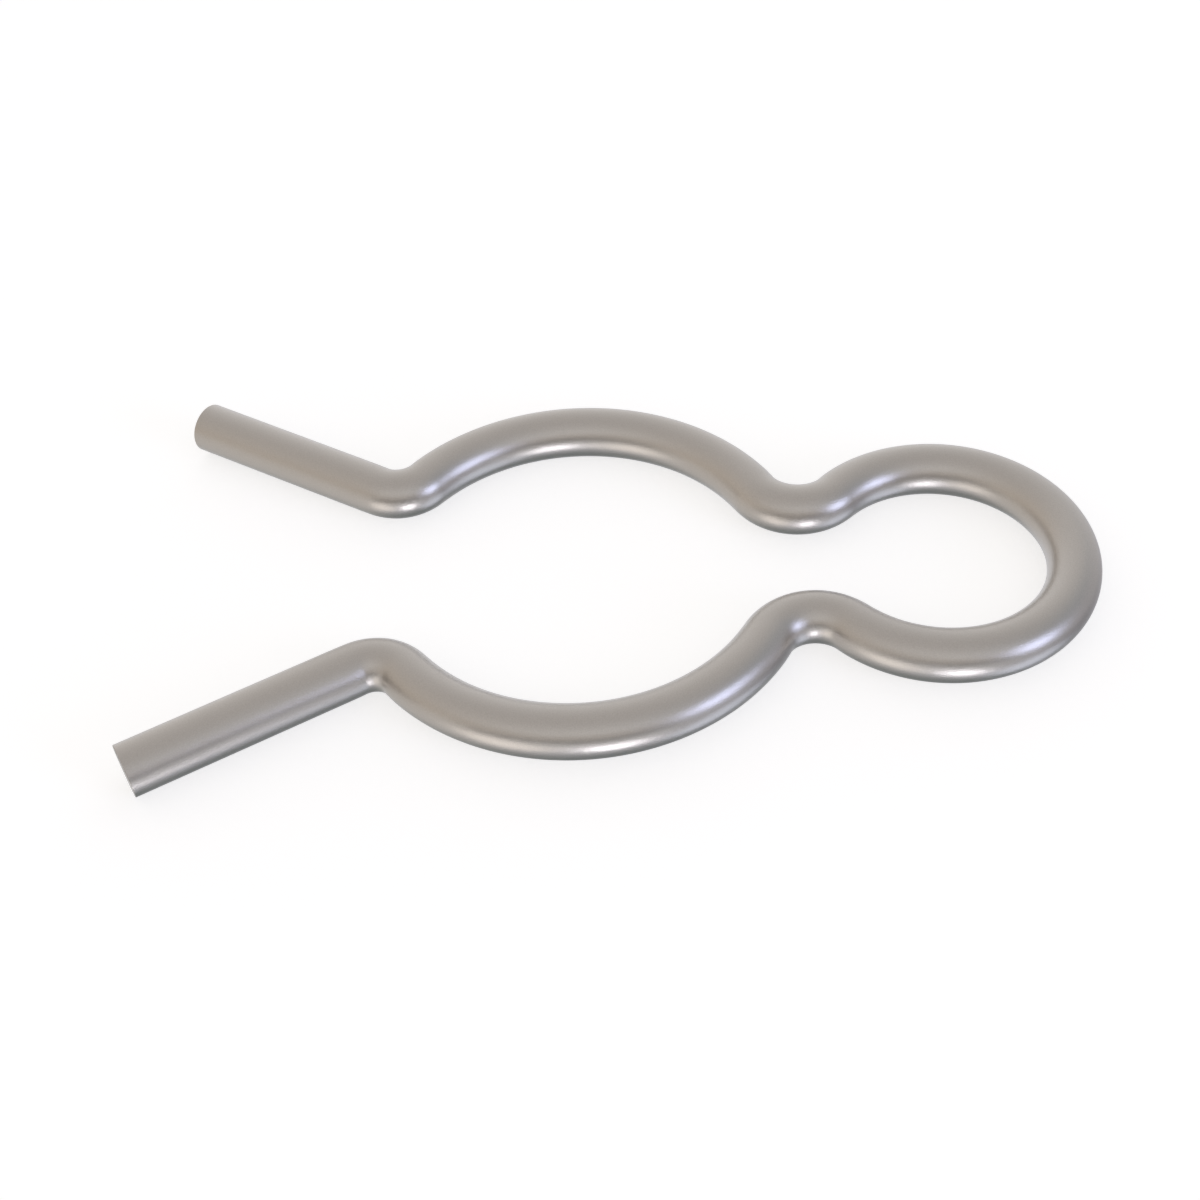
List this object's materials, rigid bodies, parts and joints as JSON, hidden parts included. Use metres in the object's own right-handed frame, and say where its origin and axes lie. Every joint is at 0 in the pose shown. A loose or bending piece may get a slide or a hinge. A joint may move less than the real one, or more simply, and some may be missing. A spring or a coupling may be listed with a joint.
{
  "type": "clip pin",
  "caption": "Wire clip pin: a large open loop springs round a shaft, a narrow neck leads to a small pull loop, and splayed legs guide the shaft in.",
  "frame": {"origin": "centre of the large loop, on the axis of the shaft it holds, in the middle plane of the wire", "axes": "+X along the clip towards the small pull loop, +Z along the shaft's axis, and the clip is the same on both sides of X"},
  "size_m": [0.0359, 0.02, 0.002],
  "materials": {
    "spring_wire": "satin drawn steel spring wire"
  },
  "bodies": {
    "root": {"bent_wire": "spring_wire"}
  },
  "joints": []
}
